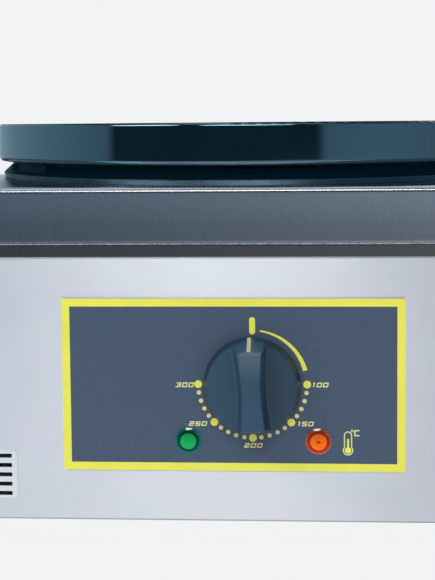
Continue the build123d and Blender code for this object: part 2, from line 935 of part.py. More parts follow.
def build():
    os.makedirs("parts", exist_ok=True)
    plain_parts = [
        make_lower_casing,
        make_base_plate,
        make_top_cover,
        make_control_panel,
        make_crepe_plate,
        make_support_ring,
        make_plate_lugs,
        make_plate_studs,
        make_stud_spacers,
        make_stud_washers,
        make_stud_nuts,
        make_heating_element,
        make_element_beads,
        make_element_pins,
        make_element_clamp,
        make_clamp_stud,
        make_clamp_nut,
        make_insulation_disc,
        make_reflector_pan,
        make_thermostat_bulb,
        make_bulb_clip,
        make_bulb_clip_screw,
        make_capillary_tube,
        make_thermostat_body,
        make_thermostat_bush,
        make_thermostat_screws,
        make_knob,
        make_knob_pointer,
        make_thermostat_shaft,
        make_knob_clip,
        make_foot_screws,
        make_base_screws,
        make_cover_screws,
        make_terminal_block,
        make_block_screws,
        make_earth_stud,
        make_earth_nut,
        make_gland_body,
        make_gland_dome,
        make_gland_seal,
        make_gland_locknut,
    ]
    for make in plain_parts:
        save(make.__name__.removeprefix("make_"), make())
    for colour, x in zip(("green", "amber"), lamp_places()):
        save(f"{colour}_lens", make_lamp_lens(x))
        save(f"{colour}_lamp_body", make_lamp_body(x))
    for x, y in foot_places():
        end = "front" if y < 0 else "rear"
        side = "left" if x < 0 else "right"
        save(f"foot_{end}_{side}", make_foot(x, y))


build()
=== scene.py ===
import json
import math

import bpy
from mathutils import Matrix, Quaternion, Vector


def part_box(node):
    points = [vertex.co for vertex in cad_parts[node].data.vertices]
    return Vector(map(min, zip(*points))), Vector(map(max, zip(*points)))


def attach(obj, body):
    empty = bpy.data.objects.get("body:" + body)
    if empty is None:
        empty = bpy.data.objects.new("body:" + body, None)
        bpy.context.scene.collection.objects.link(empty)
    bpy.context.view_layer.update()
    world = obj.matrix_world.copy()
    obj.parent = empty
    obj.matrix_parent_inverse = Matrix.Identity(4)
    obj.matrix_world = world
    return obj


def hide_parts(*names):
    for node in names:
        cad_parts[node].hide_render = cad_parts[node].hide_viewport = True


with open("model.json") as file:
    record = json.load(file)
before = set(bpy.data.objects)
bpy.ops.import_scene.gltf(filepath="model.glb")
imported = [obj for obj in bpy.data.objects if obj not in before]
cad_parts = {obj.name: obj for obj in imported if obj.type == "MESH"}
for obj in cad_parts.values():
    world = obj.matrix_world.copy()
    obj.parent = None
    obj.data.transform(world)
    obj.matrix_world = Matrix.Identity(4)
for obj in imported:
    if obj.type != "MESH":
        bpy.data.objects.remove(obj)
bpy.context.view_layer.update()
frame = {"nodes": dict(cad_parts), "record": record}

nodes = frame["nodes"]
mm = 0.001
print("frame loaded,", len(nodes), "parts")


# camera: a long lens a little right of the middle, level with the plate's top

view = {
    "location": (0.030, -0.790, 0.247),
    "turnLeft": 3.18,
    "tiltDown": 3.96,
    "roll": 0.49,
    "focalLength": 1113,  # in pixels
    "lensAxis": (232, 200),  # pixel that the lens axis meets
    "picture": (435, 580),  # its width and height in pixels
    "filmWidth": 36,  # in mm
    "nearest": 0.01,
}


def makeCamera(view):
    turn = math.radians(view["turnLeft"])
    tilt = math.radians(view["tiltDown"])
    roll = math.radians(view["roll"])
    ahead = Vector((-math.sin(turn), math.cos(turn), -math.tan(tilt))).normalized()
    level = Vector((math.cos(turn), math.sin(turn), 0))
    down = ahead.cross(level)
    right = level * math.cos(roll) + down * math.sin(roll)
    up = level * math.sin(roll) - down * math.cos(roll)

    width, height = view["picture"]
    longSide = max(width, height)
    lens = bpy.data.cameras.new("frontView")
    lens.sensor_width = view["filmWidth"]
    lens.lens = view["focalLength"] / longSide * lens.sensor_width
    lens.shift_x = (width / 2 - view["lensAxis"][0]) / longSide
    lens.shift_y = (view["lensAxis"][1] - height / 2) / longSide
    lens.clip_start = view["nearest"]
    camera = bpy.data.objects.new("frontView", lens)
    camera.matrix_world = Matrix.Translation(view["location"]) @ Matrix(
        (right, up, -ahead)
    ).transposed().to_4x4()
    bpy.context.scene.collection.objects.link(camera)
    bpy.context.scene.camera = camera


makeCamera(view)
print("camera placed")


# shader helpers


def screenColour(red, green, blue):
    # 0 to 255 as seen on a screen, into the shader's linear colour
    def lift(value):
        value /= 255
        return value / 12.92 if value <= 0.04045 else ((value + 0.055) / 1.055) ** 2.4

    return (lift(red), lift(green), lift(blue), 1)


def triple(value):
    # three values as they are, or one number three times
    return value if isinstance(value, (tuple, list)) else (value, value, value)


def scaled(colour, shares):
    return tuple(min(1, part * share) for part, share in zip(colour, triple(shares))) + (1,)


def inMm(stops):
    return [(at * mm, tone) for at, tone in stops]


mostNoise = (0.3, 0.7)  # most values of a noise lie between these
midNoise = (0.35, 0.65)  # the same, for patches with firmer edges


class NodeBench:
    # a node tree with short ways to add, join and tune its nodes
    def __init__(self, tree):
        self.tree = tree

    def add(self, kind, values=None, **settings):
        node = self.tree.nodes.new(kind)
        for name, value in settings.items():
            setattr(node, name, value)
        for name, value in (values or {}).items():
            self.feed(node.inputs[name], value)
        return node

    def made(self, kind, values=None, **settings):
        return self.add(kind, values, **settings).outputs[0]

    def feed(self, socket, value):
        if isinstance(value, bpy.types.NodeSocket):
            self.tree.links.new(value, socket)
        else:
            socket.default_value = value

    def maths(self, first, second, operation="ADD"):
        return self.made("ShaderNodeMath", {0: first, 1: second}, operation=operation)

    def spread(self, value, low, high, newLow=0, newHigh=1, smooth=False):
        # the stretch from low to high becomes the one from newLow to newHigh
        values = dict(enumerate((value, low, high, newLow, newHigh)))
        kind = "SMOOTHSTEP" if smooth else "LINEAR"
        return self.made("ShaderNodeMapRange", values, interpolation_type=kind)

    def vector(self, operation, *values, **named):
        node = self.add("ShaderNodeVectorMath", dict(enumerate(values)) | named, operation=operation)
        return node.outputs["Value" if operation == "LENGTH" else "Vector"]

    def blend(self, share, first, second, kind="MIX"):
        # a mix of colours has its share in socket 0 and its colours in 6 and 7
        sockets = {0: share, 6: first, 7: second}
        return self.add("ShaderNodeMix", sockets, data_type="RGBA", blend_type=kind).outputs[2]

    def times(self, first, second):
        return self.blend(1.0, first, second, "MULTIPLY")

    def grey(self, value):
        return self.made("ShaderNodeCombineColor", {0: value, 1: value, 2: value})

    def ramp(self, value, stops):
        # stops are places in the value's own units, each with its colour or its level of grey
        start, end = stops[0][0], stops[-1][0]
        node = self.add("ShaderNodeValToRGB", {0: self.spread(value, start, end)})
        elements = node.color_ramp.elements
        while len(elements) < len(stops):
            elements.new(0.5)
        for element, (place, tone) in zip(elements, stops):
            element.position = (place - start) / (end - start)
            element.color = tone if isinstance(tone, tuple) else (tone, tone, tone, 1)
        return node.outputs[0]


class Finish(NodeBench):
    # one procedural material about a Principled shader
    def __init__(self, name, colour, **settings):
        self.material = bpy.data.materials.new(name)
        self.material.use_nodes = True
        super().__init__(self.material.node_tree)
        self.shader = self.tree.nodes["Principled BSDF"]
        self.give("Base Color", colour)
        for label, value in settings.items():
            self.give(label.replace("_", " "), value)
        self.place = self.add("ShaderNodeTexCoord").outputs["Object"]

    def give(self, label, value):
        self.feed(self.shader.inputs[label], value)

    def fed(self, label):
        # what feeds a socket of the shader so far
        return self.shader.inputs[label].links[0].from_socket

    def noise(self, size, detail=3, offset=0):
        # size is one feature's width in metres, or its widths along X, Y and Z
        moved = self.made("ShaderNodeMapping", {
            "Vector": self.place, "Location": triple(offset), "Scale": [1 / part for part in triple(size)],
        })
        return self.made("ShaderNodeTexNoise", {"Vector": moved, "Scale": 1, "Detail": detail})

    def axis(self, letter):
        return self.add("ShaderNodeSeparateXYZ", {0: self.place}).outputs[letter]

    def about(self, x, y, z):
        # object coordinates measured from the given point
        return self.made("ShaderNodeMapping", {"Vector": self.place, "Location": (-x, -y, -z)})

    def bump(self, height, depth, strength=1):
        values = {"Height": height, "Distance": depth, "Strength": strength}
        self.give("Normal", self.made("ShaderNodeBump", values))


# studio: pale table and backdrop, a bright room on both sides and a dark one in front

studio = {
    "backdrop": screenColour(242, 243, 245),
    "roomColour": (0.64, 0.89, 1.0, 1),
    # bearing in degrees, 0 in front of the panel and 90 to its right, and how bright the room is there
    "roomGlow": [
        (-180, 0.85), (-168, 0.75), (-155, 0.60), (-134, 0.70), (-109, 0.66), (-90, 0.58), (-66, 0.44),
        (-62, 0.41), (-57.5, 0.03), (30, 0.03), (34, 0.42), (52, 0.50), (68, 0.50),
        (87, 0.43), (155, 0.70), (180, 0.85),
    ],
    # the same just below level, down to where the table starts
    "lowGlow": [
        (-180, (0.4, 0.42, 0.45, 1)), (-66, (0.30, 0.36, 0.42, 1)), (-35, (0.04, 0.09, 0.15, 1)),
        (-5, (0.13, 0.19, 0.26, 1)), (25, (0.55, 0.63, 0.72, 1)), (70, (0.55, 0.58, 0.62, 1)),
        (180, (0.4, 0.42, 0.45, 1)),
    ],
    # degrees above level, and where two more numbers follow, the strength at each end
    "glowFade": (32, 46, 1.0, 0.3),
    "lowFade": (-3.2, -8.5, 1.9, 0.25),
    "lowSpan": (-2.2, -3.4),
    "ceilingSpan": (60, 72),
    "ceilingLeft": (1.25, 1.30, 1.38, 1),
    "ceilingRight": (0.55, 0.60, 0.66, 1),
    "ceilingTurn": (-0.35, 0.25),  # where the ceiling goes from its left tone to its right one
    "tableSteps": 96,
    "tableReach": 0.92,
    "tableEdge": 40,
    "tableColour": (0.008, 0.008, 0.008, 1),  # the table looks pale by its own glow
    "tableRough": 0.6,
    "tableGlow": screenColour(241, 242, 244),
}


def makeRoom(studio):
    world = bpy.data.worlds.new("studio")
    bpy.context.scene.world = world
    world.use_nodes = True
    bench = NodeBench(world.node_tree)
    world.node_tree.nodes.clear()
    ray = bench.add("ShaderNodeTexCoord").outputs["Generated"]
    parts = bench.add("ShaderNodeSeparateXYZ", {0: ray})
    toFront = bench.maths(parts.outputs["Y"], -1, "MULTIPLY")
    bearing = bench.maths(parts.outputs["X"], toFront, "ARCTAN2")
    around = bench.maths(bearing, 180 / math.pi, "MULTIPLY")
    glow = bench.ramp(around, studio["roomGlow"])
    low = bench.ramp(around, studio["lowGlow"])
    rise = bench.maths(bench.maths(parts.outputs["Z"], 0, "ARCSINE"), 180 / math.pi, "MULTIPLY")
    glow = bench.times(glow, bench.grey(bench.spread(rise, *studio["glowFade"])))
    band = bench.times(glow, studio["roomColour"])
    low = bench.times(low, bench.grey(bench.spread(rise, *studio["lowFade"])))
    seen = bench.blend(bench.spread(rise, *studio["lowSpan"], smooth=True), band, low)
    sides = bench.spread(parts.outputs["X"], *studio["ceilingTurn"])
    ceiling = bench.blend(sides, studio["ceilingLeft"], studio["ceilingRight"])
    seen = bench.blend(bench.spread(rise, *studio["ceilingSpan"], smooth=True), seen, ceiling)
    straight = bench.add("ShaderNodeLightPath").outputs["Is Camera Ray"]
    seen = bench.blend(straight, seen, studio["backdrop"])
    sky = bench.made("ShaderNodeBackground", {"Color": seen, "Strength": 1.0})
    bench.add("ShaderNodeOutputWorld", {"Surface": sky})


def makeTable(studio):
    finish = Finish(
        "table", studio["tableColour"], Roughness=studio["tableRough"], Specular_IOR_Level=0,
        Emission_Color=studio["tableGlow"], Emission_Strength=1.0,
    )
    reach, steps = studio["tableReach"], studio["tableSteps"]
    rings = {"table": (0, reach), "tableEdge": (reach, studio["tableEdge"])}
    for name, (inner, outer) in rings.items():
        corners = [
            (radius * math.cos(turn), radius * math.sin(turn), 0)
            for radius in (inner, outer)
            for turn in [2 * math.pi * step / steps for step in range(steps)]
        ]
        faces = [
            (step, steps + step, steps + (step + 1) % steps, (step + 1) % steps)
            for step in range(steps)
        ]
        if inner == 0:
            corners = corners[steps:]
            faces = [tuple(range(steps))]
        mesh = bpy.data.meshes.new(name)
        mesh.from_pydata(corners, [], faces)
        table = bpy.data.objects.new(name, mesh)
        table.data.materials.append(finish.material)
        bpy.context.scene.collection.objects.link(table)
        # the far part only shows, so that the room in front stays dark
        table.visible_glossy = table.visible_diffuse = table.visible_shadow = inner == 0


# two long softboxes above the front and a round one behind; lean turns one about its own axis
lamps = {
    "softboxLeft": {
        "at": (-0.785, -0.757, 0.993), "aim": (-0.055, -0.166, 0.246),
        "size": (0.67, 0.32), "lean": 0, "power": 4.3,
    },
    "softboxFront": {
        "at": (0.003, -1.145, 0.951), "aim": (0.003, -0.1745, 0.246),
        "size": (0.88, 0.34), "lean": 16, "power": 6.6,
    },
    "softboxBehind": {
        "at": (0.70, 1.30, 1.30), "aim": (0, 0, 0.10),
        "size": (0.9, 0.9), "lean": 0, "power": 6,
    },
}


def makeLamps(lamps):
    for name, values in lamps.items():
        lamp = bpy.data.lights.new(name, "AREA")
        lamp.shape = "ELLIPSE"
        lamp.size, lamp.size_y = values["size"]
        lamp.energy = values["power"]
        holder = bpy.data.objects.new(name, lamp)
        holder.location = values["at"]
        aim = Vector(values["aim"]) - Vector(values["at"])
        holder.rotation_mode = "QUATERNION"
        lean = Quaternion((0, 0, 1), math.radians(values["lean"]))
        holder.rotation_quaternion = aim.to_track_quat("-Z", "Y") @ lean
        holder.visible_camera = False
        bpy.context.scene.collection.objects.link(holder)


makeRoom(studio)
makeTable(studio)
makeLamps(lamps)
bpy.context.scene.view_settings.view_transform = "Standard"
print("studio built")


# finishes of the object

steel = {
    # the cover's sheet is darker than the casing's, as painted shade for the dark room its skirt mirrors
    "cover": {
        "colour": (0.40, 0.42, 0.45, 1), "rough": 0.275, "stretch": 0.9, "across": (1, 0, 0.05),
        "width": 0.35 * mm, "length": 14 * mm, "contrast": 0.10, "depth": 0.0012 * mm,
    },
    "casing": {
        "colour": (0.80, 0.83, 0.89, 1), "rough": 0.42, "stretch": 0.8, "across": (0.05, 0, 1),
        "width": 0.30 * mm, "length": 30 * mm, "contrast": 0.03, "depth": 0.0006 * mm,
    },
    "finer": 3,  # how many times finer the lines of the gloss are
    "lineBump": 0.5,
    "roughVary": 0.04,
    "drift": (70 * mm, 70 * mm, 45 * mm),  # size of slow changes of tone
    "driftTone": (0.97, 1.03),
    "patch": (38 * mm, 38 * mm, 26 * mm),  # size of cooler and rosier patches
    "cool": (0.985, 1.01, 1.0),
    "rosy": (1.015, 0.99, 1.0),
    "sideFrom": 0.7,  # a wall whose normal lies this far along X is a side wall
}


def brushedSteel(name, look, lines, sideLines=None):
    # lines are a feature's width along X, Y and Z, and across in the look is the way its gloss spreads
    finish = Finish(name, look["colour"], Metallic=1.0, Anisotropic=look["stretch"])

    def grain(widths):
        finer = [width / steel["finer"] for width in widths]
        return finish.noise(widths, detail=4), finish.noise(finer, detail=2, offset=7)

    streaks, fine = grain(lines)
    direction = finish.add("ShaderNodeCombineXYZ", dict(enumerate(look["across"])))
    if sideLines:
        # on the side walls the same sheet shows its lines lying down
        normal = finish.add("ShaderNodeNewGeometry").outputs["Normal"]
        sideways = finish.add("ShaderNodeSeparateXYZ", {0: normal}).outputs["X"]
        onSide = finish.maths(finish.maths(sideways, 0, "ABSOLUTE"), steel["sideFrom"], "GREATER_THAN")
        streaksLying, fineLying = grain(sideLines)
        streaks = finish.blend(onSide, streaks, streaksLying)
        fine = finish.blend(onSide, fine, fineLying)
        finish.feed(direction.inputs["X"], finish.maths(look["across"][0], onSide, "SUBTRACT"))
        finish.feed(direction.inputs["Z"], finish.maths(look["across"][2], onSide))
    half = look["contrast"] / 2
    drift = finish.noise(steel["drift"], detail=2, offset=3)
    patch = finish.noise(steel["patch"], detail=3, offset=11)
    tone = finish.maths(
        finish.spread(streaks, *mostNoise, 1 - half, 1 + half),
        finish.spread(drift, *mostNoise, *steel["driftTone"]),
        "MULTIPLY",
    )
    cool, rosy = scaled(look["colour"], steel["cool"]), scaled(look["colour"], steel["rosy"])
    sheet = finish.blend(finish.spread(patch, *midNoise), cool, rosy)
    finish.give("Base Color", finish.times(finish.grey(tone), sheet))
    smooth, rough = look["rough"] - steel["roughVary"], look["rough"] + steel["roughVary"]
    finish.give("Roughness", finish.spread(fine, *mostNoise, smooth, rough))
    finish.bump(streaks, look["depth"], steel["lineBump"])
    finish.give("Tangent", direction.outputs[0])
    return finish


hemLook = {
    "height": 6.5 * mm,
    # how the sheet's tone changes with height above the hem's top: darker and warmer on the hem strip,
    # painted shade on the downturned edge just above it, and a painted sheen that grows brighter towards the
    # top
    "bands": inMm([
        (-7.0, (0.62, 0.56, 0.50, 1)), (-0.4, (0.62, 0.56, 0.50, 1)), (0.0, (0.12, 0.12, 0.12, 1)),
        (0.9, (0.16, 0.16, 0.16, 1)), (1.4, (0.92, 0.92, 0.92, 1)), (12.0, (1.02, 1.02, 1.02, 1)),
        (26.0, (1.42, 1.42, 1.42, 1)), (33.0, (1.5, 1.5, 1.5, 1)),
    ]),
    "wander": 0.15 * mm,  # how far the bands wave up and down
    "wanderSize": 7 * mm,
    "wearAndHighlight": (0.92, 0.95, 1.0, 1),  # a painted highlight along the edge above the hem, broken up by noise
    "edgeHighlightBand": inMm([(-7.0, 0.0), (0.2, 0.0), (0.8, 0.5), (1.9, 0.8), (3.0, 0.0), (33.0, 0.0)]),
    "edgeNoiseSize": (1.1 * mm, 1.1 * mm, 0.5 * mm),
    "edgeNoiseShare": (0.35, 0.95),
    # the upper fold: depths below its top where its brushing fades, and its tone over its height, where
    # painted shade dims its highlight
    "foldSmooth": (5 * mm, 3 * mm),
    "foldDepth": 4 * mm,
    "fold": [(0.0, 1.0), (0.3, 0.9), (0.42, 0.5), (0.58, 0.42), (0.70, 0.8), (0.85, 1.0), (1.0, 1.0)],
}


def coverSteel():
    look = steel["cover"]
    wide, long = look["width"], look["length"]
    finish = brushedSteel("coverSteel", look, (wide, 2 * long, long), (long, 2 * long, wide))
    low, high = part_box("top_cover")
    height = finish.axis("Z")
    wander = finish.noise(hemLook["wanderSize"], detail=3, offset=23)
    wave = finish.spread(wander, *mostNoise, -hemLook["wander"], hemLook["wander"])
    overHem = finish.maths(finish.maths(height, low.z + hemLook["height"], "SUBTRACT"), wave)
    # painted shade on the hem's edge and a painted sheen rising up the skirt
    sheet = finish.times(finish.fed("Base Color"), finish.ramp(overHem, hemLook["bands"]))
    # painted highlight on the edge above the hem, in broken patches
    edgeNoise = finish.noise(hemLook["edgeNoiseSize"], detail=3, offset=21)
    edgeBreakup = finish.spread(edgeNoise, *midNoise, *hemLook["edgeNoiseShare"])
    wearAndHighlight = finish.maths(finish.ramp(overHem, hemLook["edgeHighlightBand"]), edgeBreakup, "MULTIPLY")
    sheet = finish.blend(wearAndHighlight, sheet, hemLook["wearAndHighlight"])
    # the upper fold is smooth, and painted shade dims its highlight
    start, end = (high.z - depth for depth in hemLook["foldSmooth"])
    strength = finish.spread(height, start, end, steel["lineBump"], 0.0)
    finish.feed(finish.fed("Normal").node.inputs["Strength"], strength)
    crown = finish.ramp(finish.spread(height, high.z - hemLook["foldDepth"], high.z), hemLook["fold"])
    finish.give("Base Color", finish.times(sheet, crown))
    return finish


casingLook = {
    "pad": (0.90, 0.95, 1.0, 1),  # the pressed vent pads are brighter
    "padDepths": (0.5 * mm, 0.1 * mm),  # how far inside the casing's box a pad begins and is whole
    # slow change of tone along the casing, from left to right
    "slow": inMm([
        (-178, (0.99, 1.03, 1.04, 1)), (-130, (0.99, 1.02, 1.04, 1)), (-50, (1.05, 1.05, 1.05, 1)),
        (20, (1.05, 1.04, 1.05, 1)), (100, (0.92, 0.91, 0.93, 1)), (178, (0.90, 0.89, 0.93, 1)),
    ]),
    "rise": (0.98, 1.07),  # the same from its foot to its top
    "fold": 0.45,  # painted shade on the fold at its foot, which turns away from the light
    "foldHeights": (0.6 * mm, 1.5 * mm),
}


def casingSteel():
    look = steel["casing"]
    wide, long = look["width"], look["length"]
    finish = brushedSteel("casingSteel", look, (2 * long, 2 * long, wide))
    low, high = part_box("lower_casing")
    # only the vent pads stand out of the wall
    across, along = (finish.maths(finish.axis(letter), 0, "ABSOLUTE") for letter in "XY")
    start, end = (high.x - depth for depth in casingLook["padDepths"])
    onPad = finish.spread(finish.maths(across, along, "MAXIMUM"), start, end)
    height = finish.axis("Z")
    rise = finish.spread(height, low.z, high.z, *casingLook["rise"])
    # painted shade on the fold at the foot
    start, end = (low.z + up for up in casingLook["foldHeights"])
    fold = finish.spread(height, start, end, casingLook["fold"], 1.0)
    sheet = finish.times(finish.fed("Base Color"), finish.ramp(finish.axis("X"), casingLook["slow"]))
    for tone in (rise, fold):
        sheet = finish.times(sheet, finish.grey(tone))
    finish.give("Base Color", finish.blend(onPad, sheet, casingLook["pad"]))
    return finish


enamel = {
    "plate": {"colour": (0.0010, 0.0050, 0.0095, 1), "rough": 0.05, "ior": 2.69},
    "ring": {"colour": (0.0012, 0.0045, 0.0080, 1), "rough": 0.25, "ior": 1.6},
    "tint": (0.50, 0.78, 1, 1),  # colour of its reflections
    "glow": (0.0003, 0.0042, 0.0085, 1),  # a faint painted glow that lifts its deepest shadows
    "peel": 4 * mm,
    "ripple": 0.004 * mm,
    "cloud": 25 * mm,
    "cloudRough": (0.85, 1.2),
    "deep": 0.75,
}


def gloss(name, look):
    # enamel: deep colour, a wet skin, a faint orange peel and a faint painted glow
    finish = Finish(
        name, look["colour"], Roughness=look["rough"], IOR=look["ior"], Specular_Tint=enamel["tint"],
        Emission_Color=enamel["glow"], Emission_Strength=1.0,
    )
    finish.bump(finish.noise(enamel["peel"], detail=1), enamel["ripple"])
    cloud = finish.noise(enamel["cloud"], detail=3, offset=5)
    smooth, rough = (look["rough"] * share for share in enamel["cloudRough"])
    finish.give("Roughness", finish.spread(cloud, *mostNoise, smooth, rough))
    deep = scaled(look["colour"], enamel["deep"])
    finish.give("Base Color", finish.blend(finish.spread(cloud, *midNoise), deep, look["colour"]))
    return finish


rimLook = {
    "topEdge": 2.2 * mm, "lowEdge": 3.2 * mm, "fromRadius": 171.0 * mm,
    "crest": (0.72, 0.88, 0.5, 0.0),  # upward slopes between which the rim's gloss falls to nothing
    "wearAndHighlight": 30 * mm, "topGloss": (0.05, 0.08), "topRough": (0.36, 0.44),
}


def plateEnamel():
    # the turned rim gets its exact round normals, so that long reflections stay unbroken
    finish = gloss("plateEnamel", enamel["plate"])
    low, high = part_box("crepe_plate")
    flat = finish.vector("MULTIPLY", finish.place, (1, 1, 0))
    radius = finish.vector("LENGTH", flat)
    height = finish.axis("Z")
    upper = finish.maths(height, (low.z + high.z) / 2, "GREATER_THAN")
    edge = finish.spread(upper, 0, 1, high.x - rimLook["lowEdge"], high.x - rimLook["topEdge"])
    away = finish.maths(radius, finish.maths(radius, edge, "MINIMUM"), "SUBTRACT")
    level = finish.maths(
        finish.maths(height, low.z + rimLook["lowEdge"], "MAXIMUM"), high.z - rimLook["topEdge"], "MINIMUM"
    )
    sideways = finish.vector("SCALE", finish.vector("NORMALIZE", flat), Scale=away)
    upward = finish.made("ShaderNodeCombineXYZ", {"Z": finish.maths(height, level, "SUBTRACT")})
    both = finish.vector("ADD", sideways, upward)
    turned = finish.made(
        "ShaderNodeVectorTransform", {0: both},
        vector_type="NORMAL", convert_from="OBJECT", convert_to="WORLD",
    )
    onRim = finish.maths(radius, rimLook["fromRadius"], "GREATER_THAN")
    flatNormal = finish.add("ShaderNodeNewGeometry").outputs["Normal"]
    # a mix of vectors has its share in socket 0 and its vectors in 4 and 5
    sockets = {0: onRim, 4: flatNormal, 5: turned}
    normal = finish.add("ShaderNodeMix", sockets, data_type="VECTOR")
    finish.feed(finish.fed("Normal").node.inputs["Normal"], normal.outputs[1])
    # the cooking face is ground and seasoned, so it is duller than the rim, as is the rim's crest
    slope = finish.add("ShaderNodeSeparateXYZ", {0: finish.vector("NORMALIZE", both)}).outputs["Z"]
    crest = finish.spread(slope, *rimLook["crest"])
    wearAndHighlight = finish.noise(rimLook["wearAndHighlight"], detail=4, offset=31)
    dull = finish.spread(wearAndHighlight, *mostNoise, *rimLook["topGloss"])
    finish.give("Specular IOR Level", finish.spread(onRim, 0, 1, dull, crest))
    wearAndSheen = finish.spread(wearAndHighlight, *mostNoise, *rimLook["topRough"])
    finish.give("Roughness", finish.spread(onRim, 0, 1, wearAndSheen, finish.fed("Roughness")))
    return finish


ringLook = {
    "footTop": (3.0 * mm, 3.4 * mm),  # heights between which the glossy foot ends
    "footGloss": 1.0,
    "gloss": 0.02,
    "left": (-150 * mm, -105 * mm, 0.05, 1.0),  # towards its left end the gloss falls as well
}


def ringEnamel():
    # above its tip the ring is duller than on the undercut foot
    finish = gloss("ringEnamel", enamel["ring"])
    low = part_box("support_ring")[0]
    start, end = (low.z + up for up in ringLook["footTop"])
    foot = finish.spread(finish.axis("Z"), start, end, ringLook["footGloss"], ringLook["gloss"])
    left = finish.spread(finish.axis("X"), *ringLook["left"])
    finish.give("Specular IOR Level", finish.maths(foot, left, "MULTIPLY"))
    return finish


skin = {
    "cloud": 14 * mm,
    "roughVary": 0.06,
    "bump": 0.5,
}


def satin(name, colour, rough=0.5, grain=0.5 * mm, depth=0.01 * mm, vary=0.12, **settings):
    # moulded, painted or plated skin with a fine grain and slow changes of tone
    finish = Finish(name, colour, Roughness=rough, **settings)
    speck = finish.noise(grain, detail=2)
    cloud = finish.noise(skin["cloud"], detail=3, offset=4)
    low, high = scaled(colour, 1 - vary), scaled(colour, 1 + vary)
    finish.give("Base Color", finish.blend(finish.spread(cloud, *mostNoise), low, high))
    roughs = (rough - skin["roughVary"], rough + skin["roughVary"])
    finish.give("Roughness", finish.spread(speck, *mostNoise, *roughs))
    finish.bump(speck, depth, skin["bump"])
    return finish


moulding = {
    "colour": (0.020, 0.066, 0.124, 1),
    "skin": (0.45, 0.35 * mm, 0.006 * mm, 0.06),  # satin's roughness, grain, its depth, and change of tone
    # painted shade across the knob, from its axis: darker towards the right, deepest on the grip's right
    # wall, which faces away from the light
    "tone": inMm([
        (-27, 1.0), (-9, 0.96), (-5, 1.08), (6, 1.02), (7.6, 0.42), (10.5, 0.62), (20, 0.72), (27, 0.62),
    ]),
    "rim": (1.6 * mm, 0.6 * mm),  # painted shade: the knob darkens between these distances from its edge
    "rimTone": 0.45,
    # painted sheen on the grip's upper end, full at the second number of each pair
    "gripSheen": (0.075, 0.125, 0.175, 1),
    "gripSheenShare": 0.9,
    "gripSheenHeight": (4 * mm, 21 * mm),
    "gripSheenWidth": (6.6 * mm, 5.6 * mm),
    "gripSheenDepth": (3.0 * mm, 1.0 * mm),
}


def knobPlastic():
    finish = satin("knobPlastic", moulding["colour"], *moulding["skin"])
    low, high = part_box("knob")
    centre = (low + high) / 2
    place = finish.about(centre.x, low.y, centre.z)
    across, deep, up = finish.add("ShaderNodeSeparateXYZ", {0: place}).outputs
    # painted shade across the knob
    shade = finish.times(finish.fed("Base Color"), finish.ramp(across, moulding["tone"]))
    reach = finish.vector("LENGTH", finish.vector("MULTIPLY", place, (1, 0, 1)))
    # painted shade towards the knob's edge
    start, end = ((high.x - low.x) / 2 - inward for inward in moulding["rim"])
    rim = finish.spread(reach, start, end, 1.0, moulding["rimTone"])
    shade = finish.times(shade, finish.grey(rim))
    # painted sheen on the upper end of the grip's face
    wearAndSheen = finish.spread(up, *moulding["gripSheenHeight"], 0, moulding["gripSheenShare"], smooth=True)
    inside = finish.spread(finish.maths(across, 0, "ABSOLUTE"), *moulding["gripSheenWidth"])
    onFace = finish.spread(deep, *moulding["gripSheenDepth"])
    share = finish.maths(finish.maths(wearAndSheen, inside, "MULTIPLY"), onFace, "MULTIPLY")
    finish.give("Base Color", finish.blend(share, shade, moulding["gripSheen"]))
    return finish


film = {
    "dark": (0.048, 0.079, 0.132, 1),
    "light": (0.066, 0.106, 0.176, 1),
    "rough": 0.55,
    "mottle": 2.2 * mm,
    "mottleShare": 0.45,
    "weave": 0.7 * mm,
    "weaveShare": 0.55,
    "depth": 0.006 * mm,
    "bump": 0.4,
}


def panelFilm():
    # printed film: slate ink with the faint mottling of its weave
    finish = Finish("panelFilm", film["dark"], Roughness=film["rough"])
    weave = finish.noise(film["weave"], detail=2)
    mottle = finish.noise(film["mottle"], detail=4, offset=2)
    tone = finish.maths(
        finish.spread(mottle, *mostNoise, 0.0, film["mottleShare"]),
        finish.spread(weave, *mostNoise, 0.0, film["weaveShare"]),
    )
    finish.give("Base Color", finish.blend(tone, film["dark"], film["light"]))
    finish.bump(weave, film["depth"], film["bump"])
    return finish


lensLook = {
    "rough": 0.25,
    "gloss": 0.04,
    # painted glow of the lens
    "glow": 0.35,
    "coatIor": 1.75,
    "coatRough": 0.05,
    "coatHeights": (0.35, 0.6),  # heights above the middle, in radii, between which the coat comes in
    "coat": (0.05, 1.0),
    "light": (1.42, 0.55),  # painted light through the lens, at the bottom and at the top
    "cuts": 620,  # facets to a metre
    "cutSpan": (0.1, 0.6),
    "cutTone": (1.12, 0.88),
}


